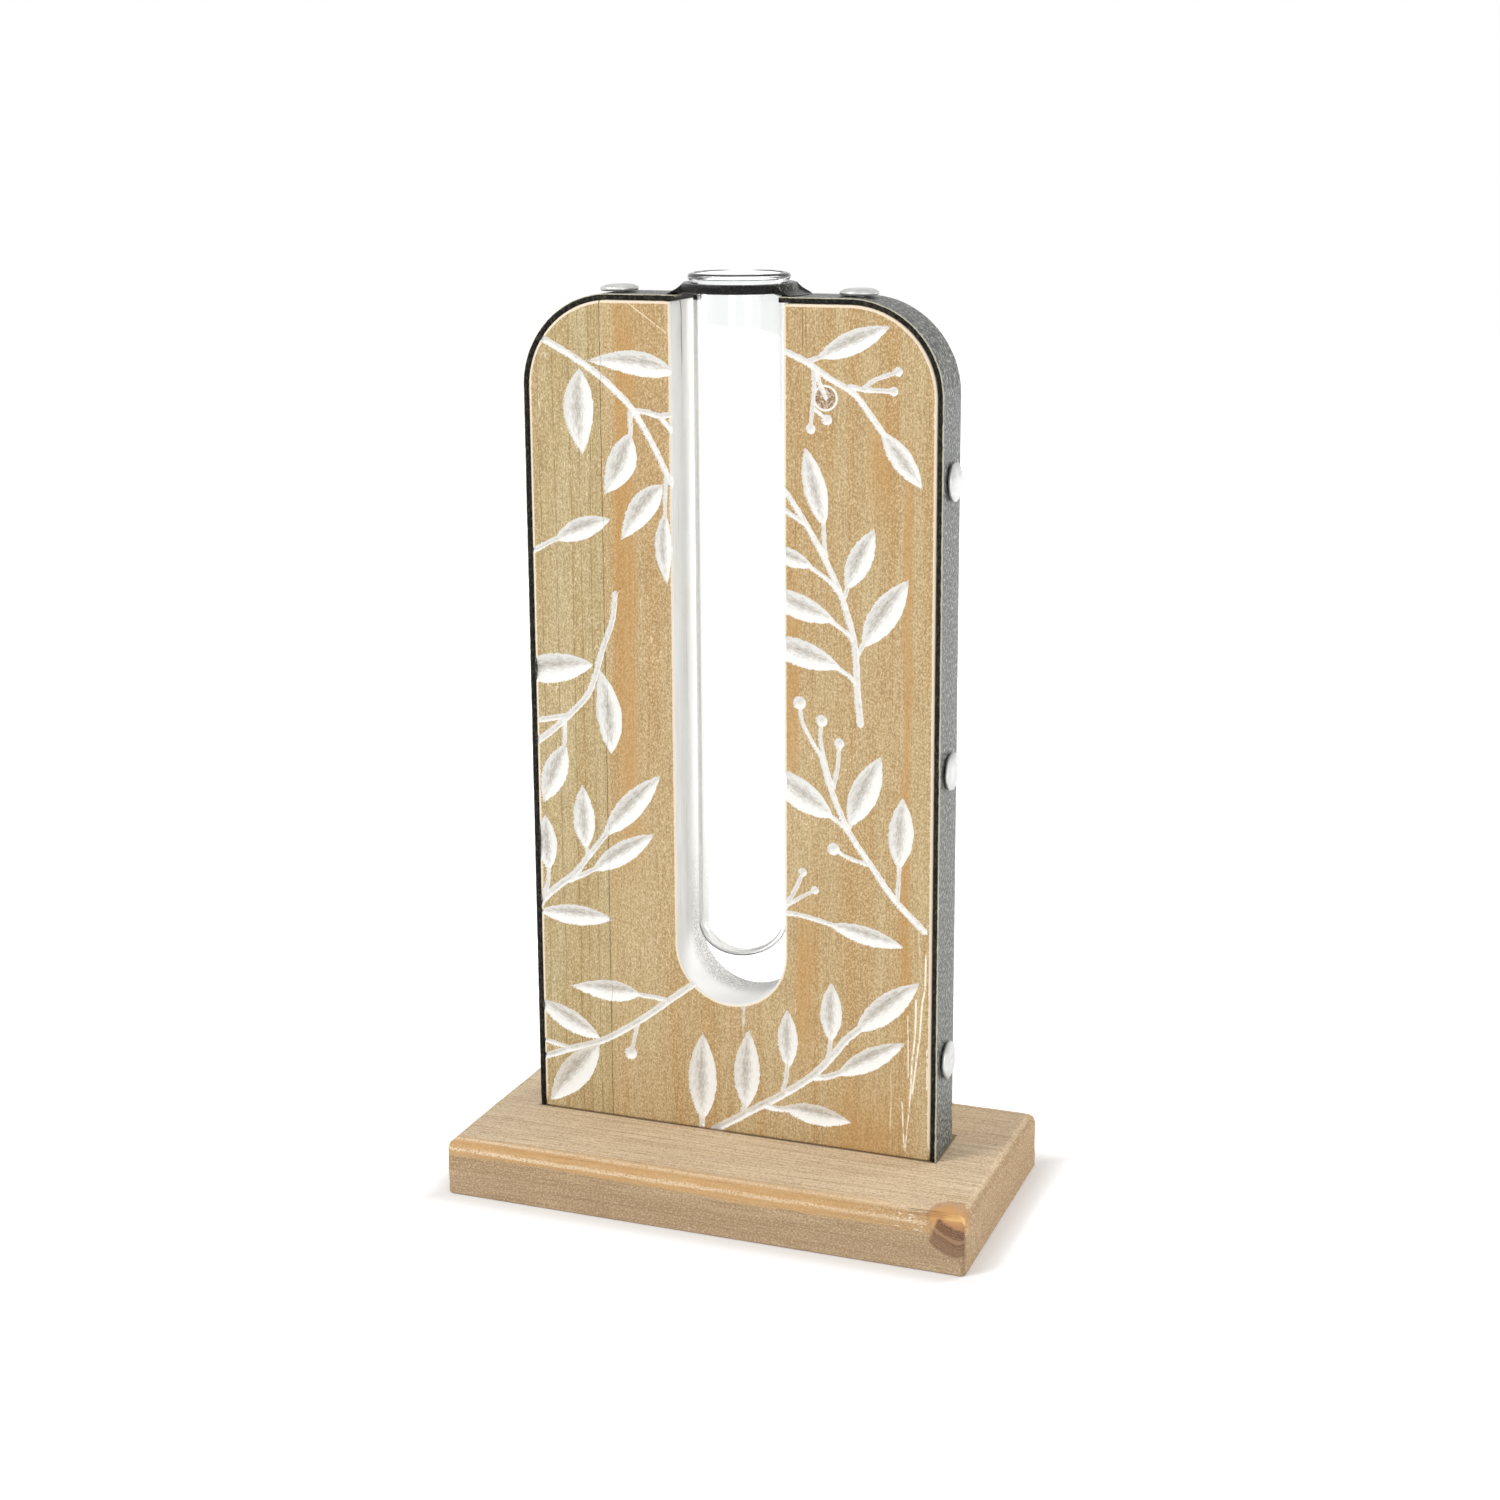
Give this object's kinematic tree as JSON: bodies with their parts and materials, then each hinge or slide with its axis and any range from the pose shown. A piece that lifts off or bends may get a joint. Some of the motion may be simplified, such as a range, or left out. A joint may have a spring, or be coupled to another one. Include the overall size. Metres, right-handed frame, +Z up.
{
  "type": "stem vase",
  "caption": "Glass test tube vase hung by its lip in a slotted wooden board with carved leaf sprigs and a nailed black steel edge strap, on a wooden foot.",
  "frame": {"origin": "centre of the foot's underside, on the table", "axes": "+Z up, -Y towards the carved front, +X to the right as seen from the front"},
  "size_m": [0.1524, 0.0766, 0.2584],
  "materials": {
    "board_wood": "sanded golden pine with leaf sprigs cut in and rubbed with white paint",
    "foot_wood": "grey brown stained pine, matt, with eased edges",
    "black_steel": "black paint over hammered flat steel, worn along its edges",
    "glass": "clear polished glass",
    "nail_plating": "bright nickel plating, slightly rough",
    "screw_steel": "zinc plated"
  },
  "bodies": {
    "holder": {"base_board": "foot_wood", "plaque_left_stave": "board_wood", "plaque_main_stave": "board_wood", "strap_left": "black_steel", "strap_right": "black_steel", "tube_ring": "black_steel", "strap_nail_left_1": "nail_plating", "strap_nail_left_2": "nail_plating", "strap_nail_left_3": "nail_plating", "strap_nail_top_left": "nail_plating", "base_screw_left": "screw_steel", "strap_nail_right_1": "nail_plating", "strap_nail_right_2": "nail_plating", "strap_nail_right_3": "nail_plating", "strap_nail_top_right": "nail_plating", "base_screw_right": "screw_steel"},
    "tube": {"test_tube": "glass"}
  },
  "joints": [
    {"name": "tube_lift", "type": "slide", "parent": "holder", "child": "tube", "axis": [0, 0, 1], "range_m": [0, 0.2]}
  ]
}
